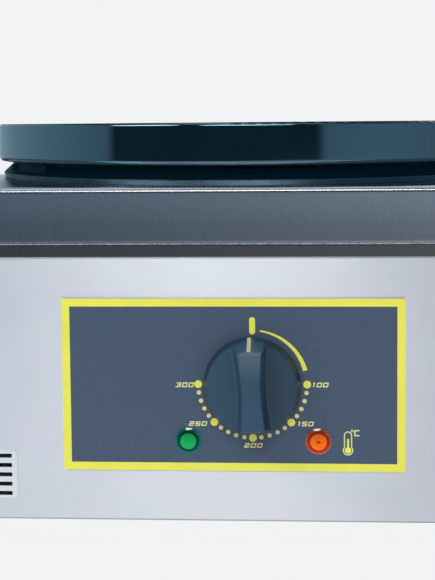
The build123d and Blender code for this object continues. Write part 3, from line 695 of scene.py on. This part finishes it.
def lensFinish(name, node, rings):
    # clear coloured dome: rings of depth about its own axis, with painted light that is brighter towards the
    # bottom, a painted glow and painted glints
    look = lensLook
    low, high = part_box(node)
    centre = (low + high) / 2
    radius = (high.x - low.x) / 2
    finish = Finish(
        name, rings[0][1], Roughness=look["rough"], Specular_IOR_Level=look["gloss"],
        Coat_IOR=look["coatIor"], Coat_Roughness=look["coatRough"], Emission_Strength=look["glow"],
    )
    flat = finish.vector("MULTIPLY", finish.about(centre.x, 0, centre.z), (1, 0, 1))
    reach = finish.maths(finish.vector("LENGTH", flat), radius, "DIVIDE")
    height = finish.add("ShaderNodeSeparateXYZ", {0: flat}).outputs["Z"]
    # the glossy coat is laid on where it catches the lamps and kept faint lower down
    start, end = (radius * share for share in look["coatHeights"])
    finish.give("Coat Weight", finish.spread(height, start, end, *look["coat"]))
    # painted glints on the lens's inner facets
    cuts = finish.add("ShaderNodeTexVoronoi", {"Vector": flat, "Scale": look["cuts"]})
    spark = finish.spread(cuts.outputs["Distance"], *look["cutSpan"], *look["cutTone"])
    light = finish.maths(finish.spread(height, -radius, radius, *look["light"]), spark, "MULTIPLY")
    shade = finish.times(finish.grey(light), finish.ramp(reach, rings))
    finish.give("Base Color", shade)
    finish.give("Emission Color", shade)
    return finish


# colours from the middle of each lens out to its edge; the light colours at the edge are a painted
# reflection
greenRings = [
    (0.0, screenColour(15, 150, 75)),
    (0.52, screenColour(20, 160, 85)),
    (0.60, screenColour(30, 120, 80)),
    (0.64, screenColour(0, 45, 32)),
    (0.74, screenColour(0, 60, 45)),
    (0.88, screenColour(0, 95, 78)),
    (1.0, screenColour(30, 110, 100)),
]
amberRings = [
    (0.0, screenColour(140, 45, 5)),
    (0.08, screenColour(150, 50, 8)),
    (0.16, screenColour(225, 95, 18)),
    (0.52, screenColour(232, 108, 28)),
    (0.60, screenColour(215, 90, 30)),
    (0.66, screenColour(130, 35, 10)),
    (0.78, screenColour(150, 50, 25)),
    (1.0, screenColour(150, 90, 80)),
]

finishes = {
    "enamelled_iron": plateEnamel(),
    "black_enamel": ringEnamel(),
    "cover_steel": coverSteel(),
    "casing_steel": casingSteel(),
    "zinc_steel": satin("zincPlate", (0.55, 0.56, 0.57, 1), 0.42, 1.2 * mm, Metallic=1.0),
    "panel_print": panelFilm(),
    "knob_plastic": knobPlastic(),
    "pointer_plastic": satin("pointerPaint", screenColour(190, 200, 150), 0.5),
    "spring_steel": satin("springSteel", (0.5, 0.5, 0.52, 1), 0.3, Metallic=1.0),
    "bright_steel": satin("brightSteel", (0.68, 0.68, 0.7, 1), 0.18, Metallic=1.0),
    "thermostat_ceramic": satin("steatite", (0.80, 0.76, 0.68, 1), 0.5),
    "brass": satin("brassTurned", (0.72, 0.55, 0.25, 1), 0.3, Metallic=1.0),
    "fastener_steel": satin("zincFastener", (0.6, 0.6, 0.58, 1), 0.35, Metallic=1.0),
    "screw_steel": satin("stainlessScrew", (0.66, 0.67, 0.69, 1), 0.25, Metallic=1.0),
    "copper": satin("copperDrawn", (0.72, 0.38, 0.24, 1), 0.3, Metallic=1.0),
    "green_lens": lensFinish("greenLens", "green_lens", greenRings),
    "amber_lens": lensFinish("amberLens", "amber_lens", amberRings),
    "lamp_plastic": satin("lampNylon", (0.7, 0.69, 0.64, 1), 0.5),
    "element_steel": satin("elementSheath", (0.20, 0.18, 0.16, 1), 0.5, 2 * mm, Metallic=1.0),
    "ceramic": satin("ceramicWhite", (0.82, 0.80, 0.75, 1), 0.45),
    "ceramic_fibre": satin("ceramicFibre", (0.84, 0.82, 0.77, 1), 0.9, 1.5 * mm, 0.3 * mm),
    "foot_rubber": satin("footRubber", (0.025, 0.026, 0.028, 1), 0.65, 0.6 * mm, 0.02 * mm),
    "gland_plastic": satin("glandNylon", (0.030, 0.031, 0.034, 1), 0.45),
    "seal_rubber": satin("sealRubber", (0.03, 0.03, 0.03, 1), 0.7),
}


def dressNodes():
    slots = {part["node"]: part["material_slot"] for part in frame["record"]["subparts"]}
    for name, node in nodes.items():
        node.data.materials.clear()
        node.data.materials.append(finishes[slots[name]].material)


dressNodes()
print("finishes assigned")


# print on the panel: thin raised ink, flat on the panel's face

panelLow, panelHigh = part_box("control_panel")
knobLow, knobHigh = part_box("knob")
ink = {
    "thickness": 0.06 * mm,
    "border": 4.5 * mm,
    "corner": 0.5 * mm,
    # the dial sits a little off the knob's axis
    "dialCentre": ((knobLow.x + knobHigh.x) / 2 + 0.2 * mm, (knobLow.z + knobHigh.z) / 2 + 0.3 * mm),
    "dialRadius": 30.4 * mm,
    "dotSides": 28,
    "bar": {"radius": 33 * mm, "width": 3.3 * mm, "length": 9.8 * mm},
    "sweep": {"start": 8, "end": 75, "thin": 0.8 * mm, "thick": 2.5 * mm, "growth": 0.8},
    "yellow": screenColour(252, 246, 92),
    "pale": screenColour(236, 232, 158),
}
yellowInk = satin("yellowInk", ink["yellow"], 0.5, vary=0.04)
paleInk = satin("paleInk", ink["pale"], 0.5, vary=0.05)


def addPiece(name, mesh, material):
    piece = bpy.data.objects.new(name, mesh)
    piece.data.materials.clear()
    piece.data.materials.append(material)
    bpy.context.scene.collection.objects.link(piece)
    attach(piece, "cooker")
    return piece


def plainMesh(name, holder):
    # the finished shape of a curve or of a mesh with modifiers
    bpy.context.scene.collection.objects.link(holder)
    graph = bpy.context.evaluated_depsgraph_get()
    mesh = bpy.data.meshes.new_from_object(holder.evaluated_get(graph))
    mesh.name = name
    bpy.data.objects.remove(holder)
    return mesh


def printShape(name, outlines, finish):
    # closed outlines in the panel's plane, where one inside another is a hole
    curve = bpy.data.curves.new(name, "CURVE")
    curve.dimensions = "2D"
    curve.fill_mode = "BOTH"
    curve.extrude = ink["thickness"] / 2
    for outline in outlines:
        spline = curve.splines.new("POLY")
        spline.points.add(len(outline) - 1)
        for point, (x, z) in zip(spline.points, outline):
            point.co = (x, z, 0, 1)
        spline.use_cyclic_u = True
    mesh = plainMesh(name, bpy.data.objects.new(name, curve))
    standing = Matrix.Rotation(math.pi / 2, 4, "X")
    mesh.transform(Matrix.Translation((0, panelLow.y - ink["thickness"] / 2, 0)) @ standing)
    addPiece(name, mesh, finish.material)


def rectangle(low, high):
    return [(low[0], low[1]), (high[0], low[1]), (high[0], high[1]), (low[0], high[1])]


def arc(centre, radius, start, turn, steps):
    # anticlockwise from start, where 0 points to the right; both angles are in radians
    angles = [start + turn * step / steps for step in range(steps + 1)]
    return [(centre[0] + radius * math.cos(angle), centre[1] + radius * math.sin(angle)) for angle in angles]


def capsule(centre, width, length, steps=10):
    # upright bar with round ends
    radius = width / 2
    rise = length / 2 - radius
    upper = arc((centre[0], centre[1] + rise), radius, 0, math.pi, steps)
    lower = arc((centre[0], centre[1] - rise), radius, math.pi, math.pi, steps)
    return upper + lower


def onDial(degrees, radius):
    # clockwise from the top
    turn = math.radians(degrees)
    x, z = ink["dialCentre"]
    return (x + radius * math.sin(turn), z + radius * math.cos(turn))


def sweepOutline(start, end, thin, thick, growth, steps=28):
    # clockwise stroke that grows from thin to thick; a growth below 1 is quicker at its start
    outer, inner = [], []
    for step in range(steps + 1):
        share = step / steps
        half = (thin + (thick - thin) * share ** growth) / 2
        degrees = start + (end - start) * share
        outer.append(onDial(degrees, ink["dialRadius"] + half))
        inner.append(onDial(degrees, ink["dialRadius"] - half))
    return outer + inner[::-1]


def printPanel():
    low = (panelLow.x, panelLow.z)
    high = (panelHigh.x, panelHigh.z)
    inward = ink["border"]
    inner = rectangle((low[0] + inward, low[1] + inward), (high[0] - inward, high[1] - inward))
    outer = cutCorners(rectangle(low, high), ink["corner"])
    printShape("panelBorder", [outer, inner], yellowInk)
    bar = ink["bar"]
    printShape("dialStopBar", [capsule(onDial(0, bar["radius"]), bar["width"], bar["length"])], yellowInk)
    printShape("dialSweep", [sweepOutline(**ink["sweep"])], yellowInk)


# in heights of a figure; narrow is the width of a 1, foot where its stem begins
digit = {
    "width": 1.07, "stroke": 0.24, "slant": 0.28, "cut": 0.09, "gap": 0.25,
    "narrow": 0.62, "foot": 0.2, "middleBar": 0.3,
}


def digitOutlines(figure):
    # squarish figures one unit high, each as one outline and its holes
    w, t, foot, bar = digit["width"], digit["stroke"], digit["foot"], digit["middleBar"]
    low, high = (1 - t) / 2, (1 + t) / 2
    shapes = {
        "0": [[(0, 0), (w, 0), (w, 1), (0, 1)], [(t, t), (w - t, t), (w - t, 1 - t), (t, 1 - t)]],
        "1": [[(foot, 0), (foot + t, 0), (foot + t, 1), (0, 1), (0, 1 - t), (foot, 1 - t)]],
        "2": [[(0, 0), (w, 0), (w, t), (t, t), (t, low), (w, low), (w, 1), (0, 1), (0, 1 - t),
               (w - t, 1 - t), (w - t, high), (0, high)]],
        "3": [[(0, 0), (w, 0), (w, 1), (0, 1), (0, 1 - t), (w - t, 1 - t), (w - t, high),
               (bar, high), (bar, low), (w - t, low), (w - t, t), (0, t)]],
        "5": [[(0, 0), (w, 0), (w, high), (t, high), (t, 1 - t), (w, 1 - t), (w, 1), (0, 1),
               (0, low), (w - t, low), (w - t, t), (0, t)]],
    }
    return shapes[figure]


def cutCorners(outline, cut, most=0.4):
    # chamfer each corner of a closed outline, by no more than this share of a side
    points = []
    for index, corner in enumerate(outline):
        here = Vector(corner)
        for other in (outline[index - 1], outline[(index + 1) % len(outline)]):
            way = Vector(other) - here
            points.append(tuple(here + way.normalized() * min(cut, way.length * most)))
    return points


def printNumber(text, left, bottom, height):
    outlines = []
    start = 0
    for figure in text:
        for outline in digitOutlines(figure):
            outlines.append([
                (left + (start + x + digit["slant"] * z) * height, bottom + z * height)
                for x, z in cutCorners(outline, digit["cut"])
            ])
        start += digit["narrow" if figure == "1" else "width"] + digit["gap"]
    printShape(f"dialNumber{text}", outlines, paleInk)


numberHeight = 2.7 * mm
numbers = {  # left and bottom of each number
    "100": (39.6 * mm, 99.95 * mm),
    "150": (31.3 * mm, 77.9 * mm),
    "200": (1.5 * mm, 65.5 * mm),
    "250": (-29.5 * mm, 77.75 * mm),
    "300": (-36.7 * mm, 99.75 * mm),
}


def printNumbers():
    for text, (left, bottom) in numbers.items():
        printNumber(text, left, bottom, numberHeight)


symbol = {
    "x": 59.6 * mm,
    "top": 75.2 * mm,
    "bulb": 64.4 * mm,
    "tube": 2.3 * mm,
    "bulbRadius": 2.9 * mm,
    "line": 0.65 * mm,
    "fluidGap": 0.45 * mm,
    "fluidTube": 0.55 * mm,
    "fluidRise": 6.5 * mm,
    "degreeAt": (61.9 * mm, 75.5 * mm),
    "degreeRadii": (0.75 * mm, 0.35 * mm),
    "letterAt": (63.0 * mm, 72.4 * mm),
    "letterHeight": 3.6 * mm,
    # a squarish C in its own heights, whose corners are cut
    "letter": [(0, 0), (0.85, 0), (0.85, 0.2), (0.2, 0.2), (0.2, 0.8), (0.85, 0.8), (0.85, 1), (0, 1)],
    "letterCut": 0.1,
}


def bulbArc(radius, stem):
    # round the bulb, from one side of the stem to the other
    meet = math.asin(stem / radius)
    return arc((symbol["x"], symbol["bulb"]), radius, math.pi / 2 + meet, 2 * (math.pi - meet), steps=24)


def thermometerOutline(inset):
    # stem with a round top, running into the bulb
    stem = symbol["tube"] - inset
    top = arc((symbol["x"], symbol["top"] - symbol["tube"]), stem, 0, math.pi, steps=12)
    return top + bulbArc(symbol["bulbRadius"] - inset, stem)


def printSymbol():
    x, line, stem = symbol["x"], symbol["line"], symbol["fluidTube"]
    printShape("heatSymbol", [thermometerOutline(0), thermometerOutline(line)], paleInk)
    level = symbol["bulb"] + symbol["fluidRise"]
    fluid = [(x + stem, level), (x - stem, level)]
    fluid += bulbArc(symbol["bulbRadius"] - line - symbol["fluidGap"], stem)
    printShape("heatSymbolFluid", [fluid], yellowInk)
    outlines = [
        arc(symbol["degreeAt"], radius, 0, 2 * math.pi, steps=16)[:-1] for radius in symbol["degreeRadii"]
    ]
    left, bottom = symbol["letterAt"]
    height = symbol["letterHeight"]
    corners = cutCorners(symbol["letter"], symbol["letterCut"])
    outlines.append([(left + across * height, bottom + up * height) for across, up in corners])
    printShape("degreeSign", outlines, paleInk)


printPanel()
printNumbers()
printSymbol()
print("panel printed")


# geometry nodes


class ShapeTree(NodeBench):
    # a geometry node tree with named inputs, made into a plain mesh at the end
    def __init__(self, name, inputs):
        tree = bpy.data.node_groups.new(name, "GeometryNodeTree")
        super().__init__(tree)
        self.names = {}
        for label, kind in inputs.items():
            socket = tree.interface.new_socket(label, in_out="INPUT", socket_type="NodeSocket" + kind)
            self.names[label] = socket.identifier
        tree.interface.new_socket("Geometry", in_out="OUTPUT", socket_type="NodeSocketGeometry")
        self.given = self.add("NodeGroupInput").outputs

    def end(self, instances):
        solid = self.made("GeometryNodeRealizeInstances", {0: instances})
        painted = self.made("GeometryNodeSetMaterial", {0: solid, "Material": self.given["Finish"]})
        self.add("NodeGroupOutput", {0: painted})

    def bake(self, name, values, base=None):
        holder = bpy.data.objects.new(name, base or bpy.data.meshes.new(name))
        modifier = holder.modifiers.new("shape", "NODES")
        modifier.node_group = self.tree
        for label, value in values.items():
            modifier[self.names[label]] = value
        return plainMesh(name, holder)


def dotTree():
    # discs round the dial; after each group one place is left free
    tree = ShapeTree("dialDots", {
        "Count": "Int", "Group": "Int", "Start": "Float", "Step": "Float", "Radius": "Float",
        "Dot Radius": "Float", "Thickness": "Float", "Centre": "Vector", "Finish": "Material",
    })
    given = tree.given
    points = tree.made("GeometryNodePoints", {"Count": given["Count"]})
    index = tree.made("GeometryNodeInputIndex")
    passed = tree.maths(tree.maths(index, given["Group"], "DIVIDE"), 0, "FLOOR")
    place = tree.maths(index, passed)
    degrees = tree.maths(given["Start"], tree.maths(place, given["Step"], "MULTIPLY"))
    turn = tree.maths(degrees, math.pi / 180, "MULTIPLY")
    across = tree.maths(tree.maths(turn, 0, "SINE"), given["Radius"], "MULTIPLY")
    upward = tree.maths(tree.maths(turn, 0, "COSINE"), given["Radius"], "MULTIPLY")
    offset = tree.made("ShaderNodeCombineXYZ", {"X": across, "Y": 0, "Z": upward})
    where = tree.vector("ADD", offset, given["Centre"])
    placed = tree.made("GeometryNodeSetPosition", {"Geometry": points, "Position": where})
    dot = tree.made("GeometryNodeMeshCylinder", {
        "Vertices": ink["dotSides"], "Radius": given["Dot Radius"], "Depth": given["Thickness"],
    })
    tree.end(tree.made("GeometryNodeInstanceOnPoints", {
        "Points": placed, "Instance": dot, "Rotation": (math.pi / 2, 0, 0),
    }))
    return tree


dots = {
    # five large dots in one group, and small ones that leave the large ones' places free
    "dialDots": {
        "Count": 5, "Group": 99, "Start": 90.0, "Step": 45.0, "Dot Radius": 2.2 * mm, "ink": yellowInk,
    },
    "dialTicks": {
        "Count": 16, "Group": 4, "Start": 99.0, "Step": 9.0, "Dot Radius": 1.25 * mm, "ink": paleInk,
    },
}


def printDots():
    tree = dotTree()
    x, z = ink["dialCentre"]
    centre = (x, panelLow.y - ink["thickness"] / 2, z)
    for name, values in dots.items():
        given = {label: value for label, value in values.items() if label != "ink"}
        given.update({
            "Radius": ink["dialRadius"], "Thickness": ink["thickness"],
            "Centre": centre, "Finish": values["ink"].material,
        })
        addPiece(name, tree.bake(name, given), values["ink"].material)


printDots()
print("dial printed")


# screws with a cross recess

screws = {
    "size": {
        "Head Radius": 3.8 * mm, "Head Height": 2.2 * mm, "Edge": 1.2 * mm, "Shank Radius": 2.0 * mm,
        "Recess Width": 0.9 * mm, "Recess Length": 4.2 * mm, "Recess Depth": 1.2 * mm,
    },
    "headSides": 24, "shankSides": 16,
    "edgeTurns": (0, 30, 60, 90),  # degrees round the head's edge, from its side to its top
    "weld": 1e-6,
    "smoothUpTo": 35,  # degrees
    "coverSpread": 110 * mm, "coverShank": 10 * mm,
    "baseSpread": 80 * mm, "baseEdge": 147 * mm,
}


def screwTree():
    # one screw on each given point, its head towards the point's outward vector
    tree = ShapeTree("screws", {
        "Geometry": "Geometry", "Head Radius": "Float", "Head Height": "Float", "Edge": "Float",
        "Recess Width": "Float", "Recess Length": "Float", "Recess Depth": "Float",
        "Shank Radius": "Float", "Shank Length": "Float", "Finish": "Material",
    })
    given = tree.given
    top, edge = given["Head Height"], given["Edge"]

    def moved(mesh, height):
        where = tree.made("ShaderNodeCombineXYZ", {"Z": height})
        return tree.made("GeometryNodeTransform", {"Geometry": mesh, "Translation": where})

    def disc(radius, height):
        sides = {"Vertices": screws["headSides"], "Radius": radius}
        return moved(tree.made("GeometryNodeMeshCircle", sides, fill_type="NGON"), height)

    def joined(parts):
        node = tree.add("GeometryNodeJoinGeometry")
        for part in parts:
            tree.feed(node.inputs[0], part)
        return node.outputs[0]

    # the head's side: an upright band, then its rounded edge in steps
    profile = [(given["Head Radius"], 0.0)]
    for degrees in screws["edgeTurns"]:
        turn = math.radians(degrees)
        inward = tree.maths(edge, 1 - math.cos(turn), "MULTIPLY")
        lift = tree.maths(edge, 1 - math.sin(turn), "MULTIPLY")
        radius = tree.maths(given["Head Radius"], inward, "SUBTRACT")
        profile.append((radius, tree.maths(top, lift, "SUBTRACT")))
    parts = []
    for (lastRadius, height), (radius, nextHeight) in zip(profile, profile[1:]):
        band = tree.made("GeometryNodeMeshCone", {
            "Vertices": screws["headSides"], "Radius Bottom": lastRadius, "Radius Top": radius,
            "Depth": tree.maths(nextHeight, height, "SUBTRACT"),
        }, fill_type="NONE")
        parts.append(moved(band, height))
    under = tree.made("GeometryNodeFlipFaces", {0: disc(given["Head Radius"], 0.0)})
    parts += [disc(radius, top), under]
    head = tree.made("GeometryNodeMergeByDistance", {0: joined(parts), "Distance": screws["weld"]})

    deep = tree.maths(given["Recess Depth"], 2, "MULTIPLY")
    cross = tree.add("GeometryNodeMeshBoolean", operation="UNION", solver="EXACT")
    for across, along in (("Recess Length", "Recess Width"), ("Recess Width", "Recess Length")):
        size = tree.made("ShaderNodeCombineXYZ", {"X": given[across], "Y": given[along], "Z": deep})
        tree.feed(cross.inputs["Mesh 2"], moved(tree.made("GeometryNodeMeshCube", {"Size": size}), top))
    meshes = {"Mesh 1": head, "Mesh 2": cross.outputs[0]}
    cut = tree.made("GeometryNodeMeshBoolean", meshes, operation="DIFFERENCE", solver="EXACT")

    shank = tree.made("GeometryNodeMeshCylinder", {
        "Vertices": screws["shankSides"], "Radius": given["Shank Radius"], "Depth": given["Shank Length"],
    })
    half = tree.maths(given["Shank Length"], -0.5, "MULTIPLY")
    screw = joined([cut, moved(shank, half)])

    outward = tree.add("GeometryNodeInputNamedAttribute", {"Name": "outward"}, data_type="FLOAT_VECTOR")
    way = outward.outputs["Attribute"]
    facing = tree.made("FunctionNodeAlignRotationToVector", {"Vector": way}, axis="Z")
    points = tree.made("GeometryNodeMeshToPoints", {0: given["Geometry"]})
    tree.end(tree.made("GeometryNodeInstanceOnPoints", {
        "Points": points, "Instance": screw, "Rotation": facing,
    }))
    return tree


def screwPoints(name, places):
    mesh = bpy.data.meshes.new(name)
    mesh.from_pydata([place for place, outward in places], [], [])
    facing = mesh.attributes.new("outward", "FLOAT_VECTOR", "POINT")
    for entry, (place, outward) in zip(facing.data, places):
        entry.vector = outward
    return mesh


def makeScrews():
    tree = screwTree()
    top = screws["size"]["Head Height"]
    low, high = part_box("cover_screws")
    middle = (low.z + high.z) / 2
    wide = screws["coverSpread"]
    sides = (-1, 1)
    walls = [((high.x - top, side * wide, middle), (1, 0, 0)) for side in sides]
    walls += [((low.x + top, side * wide, middle), (-1, 0, 0)) for side in sides]
    walls += [((side * wide, high.y - top, middle), (0, 1, 0)) for side in sides]
    low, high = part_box("base_screws")
    seat = low.z + top
    pairs = [(a, b) for a in sides for b in sides]
    edge, spread = screws["baseEdge"], screws["baseSpread"]
    floor = [((a * edge, b * spread, seat), (0, 0, -1)) for a, b in pairs]
    floor += [((b * spread, a * edge, seat), (0, 0, -1)) for a, b in pairs]
    sets = {
        "coverScrews": ("cover_screws", walls, screws["coverShank"], "screw_steel"),
        "baseScrews": ("base_screws", floor, high.z - seat, "fastener_steel"),
    }
    for name, (node, places, length, slot) in sets.items():
        values = dict(screws["size"])
        values.update({"Shank Length": length, "Finish": finishes[slot].material})
        mesh = tree.bake(name, values, screwPoints(name, places))
        mesh.shade_smooth()
        mesh.set_sharp_from_angle(angle=math.radians(screws["smoothUpTo"]))
        piece = addPiece(name, mesh, finishes[slot].material)
        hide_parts(node)


makeScrews()
print("screws set")
